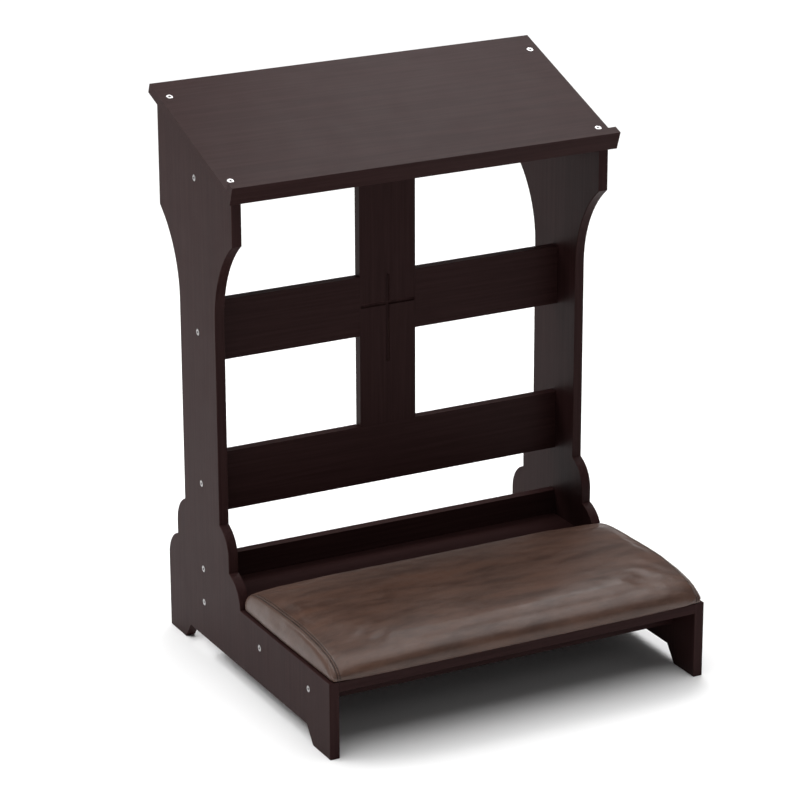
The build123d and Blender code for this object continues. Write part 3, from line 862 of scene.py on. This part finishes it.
def sew(mesh, sizes):
    """Shapes the seams of the filled cover. Returns each row's points, by side."""
    seam_x = RIGHT_END_HIGH.x - sizes.seam_in
    row_x = seam_x - sizes.row_in
    bm = bmesh.new()
    bm.from_mesh(mesh)
    cut_seams(bm, seam_x)
    bm.normal_update()
    floor = PAD_LOW.z + sizes.rest_gap
    layers = {name: bm.verts.layers.float.new(name) for name in ("seam", "crease", "painted_lit")}
    depth = PAD_HIGH.y - PAD_LOW.y
    shifts = []
    for vert in bm.verts:
        p = vert.co
        out = abs(p.x) - seam_x
        above = min(1.0, max(0.0, (p.z - floor - 0.001) / 0.006))
        above = above * above * (3 - 2 * above)
        along = (p.y - PAD_LOW.y) / depth
        move = seam_profile(out, sizes) + gathers(p, out, along)
        if out > CREASE_FROM:
            fold = crease_at(p, along)
            move -= CREASE_HEIGHT * fold
            # The fold's strength is also kept for the leather to paint as shade.
            vert[layers["crease"]] = fold
        for height, waves in LEATHER_WAVES:
            move += height * noise.noise(p * waves)
        shifts.append(vert.normal * move * above)
        # Painted shade in the seam valley and under the row of stitches.
        shade = 0.8 * math.exp(-(((out + sizes.row_in) / 0.0007) ** 2))
        shade += math.exp(-((out / 0.0008) ** 2))
        vert[layers["seam"]] = min(1.0, shade) * above
        # Painted light: a paler band along the crest outside the seam, and the whole end panel past
        # it paler too.
        crest = math.exp(-(((out - CREST_OUT) / CREST_WIDTH) ** 2))
        painted_end_light = max(0.0, min(1.0, (out - 0.001) / 0.004))
        vert[layers["painted_lit"]] = min(1.0, 0.7 * crest + 0.75 * painted_end_light)
    for vert, shift in zip(bm.verts, shifts):
        vert.co += shift
        vert.co.z = max(vert.co.z, floor)
    bm.normal_update()
    rows = {sign: seam_line(bm, sign * row_x, floor + 0.0012) for sign in (-1, 1)}
    bmesh.ops.recalc_face_normals(bm, faces=bm.faces)
    bm.to_mesh(mesh)
    bm.free()
    return rows


def end_height(along):
    """Height of the seam over a place along the pad's end."""
    crown = PAD_HIGH.z - PAD_LOW.z
    last = END_TOP[0]
    for point in END_TOP[1:]:
        if along < point[0]:
            span = max(point[0] - last[0], 1e-6)
            part = max(0.0, (along - last[0]) / span)
            return PAD_LOW.z + crown * (last[1] + (point[1] - last[1]) * part)
        last = point
    return PAD_LOW.z + crown * last[1]


def seam_line(bm, x, lowest):
    """The cover's points on an upright plane, in order over the top, with their outward arrows."""
    found = [v for v in bm.verts if abs(v.co.x - x) < 0.0004 and v.co.z > lowest]
    centre = Vector((x, (PAD_LOW.y + PAD_HIGH.y) / 2, PAD_LOW.z))
    depth = PAD_HIGH.y - PAD_LOW.y
    crown = PAD_HIGH.z - PAD_LOW.z

    def angle(vert):
        return math.atan2((vert.co.z - centre.z) / crown, (vert.co.y - centre.y) / depth * 2)

    spots = {}
    for vert in found:
        spots.setdefault(round(angle(vert) * 400), vert)
    return [(spots[key].co.copy(), spots[key].normal.copy()) for key in sorted(spots)]


def stitch_tree(sizes):
    """Short rounded stitches along a line of points."""
    kind = "NodeSocketFloat"
    tree, wire, given = new_tree("stitch_row", {
        "Stitch Length": (kind, sizes.stitch), "Gap": (kind, sizes.stitch_gap),
        "Thread Radius": (kind, sizes.thread), "Material": ("NodeSocketMaterial", None),
        "Seed": ("NodeSocketInt", 3),
    })
    path = wire.node("GeometryNodeMeshToCurve", {"Mesh": given["Geometry"]})
    pitch = given["Stitch Length"] + given["Gap"]
    path = wire.node(
        "GeometryNodeResampleCurve", {"Curve": path, "Length": pitch}, {"mode": "LENGTH"}
    )
    bead = wire.node("GeometryNodeMeshUVSphere", {"Segments": 8, "Rings": 6, "Radius": 1.0})
    slim = wire.node("ShaderNodeCombineXYZ", {
        "X": given["Thread Radius"], "Y": given["Thread Radius"], "Z": given["Stitch Length"] * 0.5,
    })
    bead = wire.node("GeometryNodeTransform", {"Geometry": bead, "Scale": slim})
    aim = wire.node("FunctionNodeAlignRotationToVector", {
        "Vector": wire.node("GeometryNodeInputTangent"),
    }, {"axis": "Z"})
    wobble = wire.node("FunctionNodeRandomValue", {2: -0.06, 3: 0.06, "Seed": given["Seed"]}, out=1)
    placed = wire.node("GeometryNodeInstanceOnPoints", {
        "Points": path, "Instance": bead, "Rotation": aim,
    })
    tilt = wire.node("ShaderNodeCombineXYZ", {"X": wobble, "Y": wobble})
    turned = wire.node("GeometryNodeRotateInstances", {"Instances": placed, "Rotation": tilt})
    close_tree(wire, turned, given["Material"])
    return tree


# ---- operators --------------------------------------------------------------------------------
class LacquerBoards(bpy.types.Operator):
    """Gives every board its dark lacquer, with the grain running along it."""
    bl_idname = "kneeler.lacquer_boards"
    bl_label = "Lacquer the boards"

    def execute(self, context):
        finish = context.scene.kneeler_lacquer
        upright = lacquered("lacquer_side_boards", finish, "Z", "X")
        splat = lacquered("lacquer_centre_board", finish, "Z", "Y")
        across = lacquered("lacquer_rails", finish, "X", "Y")
        level = lacquered("lacquer_kneeler_board", finish, "X", "Z")
        sloped = lacquered("lacquer_desk", finish, "X", "Z", DESK_TILT)
        lip = lacquered("lacquer_ledge", finish, "X", "Y", DESK_TILT)
        finishes = {
            "left_side_panel": upright, "right_side_panel": upright, "center_splat": splat,
            "desk_top": sloped, "book_ledge": lip, "kneeler_board": level,
        }
        for node in (
            "top_rail", "upper_rail", "lower_rail", "back_rail",
            "front_stretcher", "middle_stretcher", "rear_stretcher",
        ):
            finishes[node] = across
        for node, material in finishes.items():
            dress(node, material)
        return {"FINISHED"}


class HiddenParts(bpy.types.Operator):
    """Gives the dowels, staples, wood screws and the pad's base board their materials."""
    bl_idname = "kneeler.hidden_parts"
    bl_label = "Finish the hidden parts"

    def execute(self, context):
        zinc = zinc_plated("zinc_wood_screws", (0.62, 0.60, 0.55), 0.34)
        beech = bare_wood(
            "beech_dowels", (0.52, 0.34, 0.19), (0.36, 0.21, 0.11), (40.0, 900.0, 900.0)
        )
        plywood = bare_wood(
            "birch_plywood", (0.55, 0.40, 0.24), (0.36, 0.23, 0.12), (12.0, 260.0, 260.0), 3000.0
        )
        for node in ("kneeler_board_screws", "pad_screws", "cover_staples"):
            dress(node, zinc)
        for node in ("rail_dowels", "splat_dowels", "ledge_dowels"):
            dress(node, beech)
        dress("pad_base_board", plywood)
        return {"FINISHED"}


class SocketScrews(bpy.types.Operator):
    """Makes the long socket screws in the side boards and the desk."""
    bl_idname = "kneeler.socket_screws"
    bl_label = "Make the socket screws"

    def execute(self, context):
        sizes = context.scene.kneeler_screw
        metal = zinc_plated("zinc_socket_screws", tuple(sizes.metal), 0.26)
        tree = screw_tree(sizes)
        groups = (
            ("left_socket_screws", "left_panel_screws", Vector((-1, 0, 0)), 5),
            ("right_socket_screws", "right_panel_screws", Vector((1, 0, 0)), 6),
            ("desk_socket_screws", "desk_screws", DESK_NORMAL, 7),
        )
        for name, node, outward, seed in groups:
            heads = []
            for solid in islands(node):
                top = max(p.dot(outward) for p in solid)
                rim = [p for p in solid if p.dot(outward) > top - 0.00002]
                low = Vector([min(p[i] for p in rim) for i in range(3)])
                high = Vector([max(p[i] for p in rim) for i in range(3)])
                heads.append((low + high) / 2)
            if not heads:
                raise RuntimeError(f"{node} has no screws")
            points = bpy.data.meshes.new(name + "_points")
            points.from_pydata(heads, [], [])
            arrows = points.attributes.new("outward", "FLOAT_VECTOR", "POINT")
            for arrow in arrows.data:
                arrow.vector = outward
            mesh = grown(context, name, points, tree, {"Material": metal, "Seed": seed})
            piece = finished(context, name, mesh, sharp=28)
            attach(piece, BODY)
            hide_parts(node)
        return {"FINISHED"}


class KneelingPad(bpy.types.Operator):
    """Makes the leather pad: a filled cover with sewn ends, and the stitches along its seams."""
    bl_idname = "kneeler.kneeling_pad"
    bl_label = "Make the kneeling pad"

    def execute(self, context):
        sizes = context.scene.kneeler_pad
        finish = context.scene.kneeler_leather
        mesh = filled_pad(context, sizes)
        rows = sew(mesh, sizes)
        pad = finished(context, "kneeling_pad", mesh, leather("brown_leather", finish))
        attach(pad, BODY)
        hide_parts("pad_cover", "pad_foam", "pad_end_left", "pad_end_right")
        thread = sewing_thread("sewing_thread", tuple(finish.thread))
        tree = stitch_tree(sizes)
        for sign, line in rows.items():
            name = "left_pad_stitches" if sign < 0 else "right_pad_stitches"
            path = bpy.data.meshes.new(name + "_path")
            raised = [p + n * sizes.thread * 0.35 for p, n in line]
            path.from_pydata(raised, [(i, i + 1) for i in range(len(raised) - 1)], [])
            stitches = grown(context, name, path, tree, {"Material": thread})
            piece = finished(context, name, stitches)
            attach(piece, BODY)
        return {"FINISHED"}


# ---- the studio -------------------------------------------------------------------------------
FLOOR_REACH = 30.0
FLOOR_DROP = 0.0002  # from the feet down to the floor
CEILING_TOWARDS = (-0.08, 0.10, 1.0)
CEILING_SPREAD = math.radians(80)
# Each lamp's place, what it is aimed at, and its size.
WINDOW_LAMP = ((-1.7, 0.7, 1.75), (-0.3, 0.2, 0.75), (1.2, 1.2))
DESK_LAMP = ((0.9, 0.9, 2.2), (0.2, 0.1, 0.75), (1.0, 1.0))
STRIP_LAMP = ((1.9, -3.6, 2.9), (0.0, PAD_LOW.y, 0.14), (3.2, 0.5))


def plain_floor(context, colour):
    """A wide pale floor."""
    mesh = bpy.data.meshes.new("studio_floor")
    turns = ((-1, -1), (1, -1), (1, 1), (-1, 1))
    corners = [(x * FLOOR_REACH, y * FLOOR_REACH, 0) for x, y in turns]
    mesh.from_pydata(corners, [], [(0, 1, 2, 3)])
    material, wire = new_finish("pale_floor")
    close_finish(material, wire, {
        "Base Color": (*colour, 1.0), "Roughness": 0.9, "Specular IOR Level": 0.1,
    })
    mesh.materials.append(material)
    floor = bpy.data.objects.new("studio_floor", mesh)
    floor.location.z = CAD_BOX[0][2] - FLOOR_DROP
    context.scene.collection.objects.link(floor)


def soft_light(context, name, lamp_at, power):
    """A broad lamp at one place, aimed at another."""
    place, target, size = lamp_at
    lamp = bpy.data.lights.new(name, "AREA")
    lamp.shape = "RECTANGLE"
    lamp.size, lamp.size_y = size
    lamp.energy = power
    holder = bpy.data.objects.new(name, lamp)
    holder.location = place
    holder.rotation_euler = (Vector(target) - Vector(place)).to_track_quat("-Z", "Y").to_euler()
    context.scene.collection.objects.link(holder)


def sky_light(context, name, towards, power):
    """A soft light from one side of the sky, even over the whole floor."""
    lamp = bpy.data.lights.new(name, "SUN")
    lamp.energy = power
    lamp.angle = CEILING_SPREAD
    holder = bpy.data.objects.new(name, lamp)
    holder.rotation_euler = Vector(towards).to_track_quat("Z", "Y").to_euler()
    context.scene.collection.objects.link(holder)


class StudioStage(bpy.types.Operator):
    """Lays the pale floor, hangs the soft lights and places the camera."""
    bl_idname = "kneeler.studio_stage"
    bl_label = "Set up the studio"

    def execute(self, context):
        studio = context.scene.kneeler_studio
        plain_floor(context, tuple(studio.floor))
        sky_light(context, "ceiling_light", CEILING_TOWARDS, studio.ceiling)
        soft_light(context, "window_light", WINDOW_LAMP, studio.window)
        soft_light(context, "desk_light", DESK_LAMP, studio.side)
        soft_light(context, "front_strip_light", STRIP_LAMP, studio.strip)
        world = bpy.data.worlds.new("studio_room")
        world.use_nodes = True
        sky = world.node_tree.nodes["Background"]
        sky.inputs["Color"].default_value = (1.0, 1.0, 1.0, 1.0)
        sky.inputs["Strength"].default_value = studio.room
        context.scene.world = world
        context.scene.view_settings.view_transform = "Standard"
        lens = bpy.data.cameras.new("camera")
        lens.lens = studio.lens
        lens.sensor_width = 36.0
        lens.clip_end = 100.0
        camera = bpy.data.objects.new("camera", lens)
        context.scene.collection.objects.link(camera)
        level = math.pi / 2 - studio.dip
        aim = (
            Matrix.Rotation(-studio.turn, 4, "Z")
            @ Matrix.Rotation(level, 4, "X")
            @ Matrix.Rotation(studio.lean, 4, "Z")
        )
        camera.matrix_world = Matrix.Translation(studio.eye) @ aim
        context.scene.camera = camera
        return {"FINISHED"}


OPERATORS = (LacquerBoards, HiddenParts, SocketScrews, KneelingPad, StudioStage)


class KneelerPanel(bpy.types.Panel):
    """The kneeler's pieces and their sizes"""
    bl_idname = "VIEW3D_PT_kneeler"
    bl_label = "Prayer kneeler"
    bl_space_type = "VIEW_3D"
    bl_region_type = "UI"
    bl_category = "Kneeler"

    def draw(self, context):
        for step in OPERATORS:
            self.layout.operator(step.bl_idname)
        for name, group in PROPERTY_GROUPS.items():
            column = self.layout.column()
            for key in group.__annotations__:
                column.prop(getattr(context.scene, name), key)


def register():
    for group in PROPERTY_GROUPS.values():
        bpy.utils.register_class(group)
    for step in (*OPERATORS, KneelerPanel):
        bpy.utils.register_class(step)
    for name, group in PROPERTY_GROUPS.items():
        setattr(bpy.types.Scene, name, PointerProperty(type=group))


def unregister():
    for name in PROPERTY_GROUPS:
        delattr(bpy.types.Scene, name)
    for group in (KneelerPanel, *OPERATORS, *PROPERTY_GROUPS.values()):
        bpy.utils.unregister_class(group)


def main():
    register()
    bpy.ops.kneeler.studio_stage()
    bpy.ops.kneeler.lacquer_boards()
    bpy.ops.kneeler.hidden_parts()
    bpy.ops.kneeler.socket_screws()
    bpy.ops.kneeler.kneeling_pad()


if __name__ == "__main__":
    main()
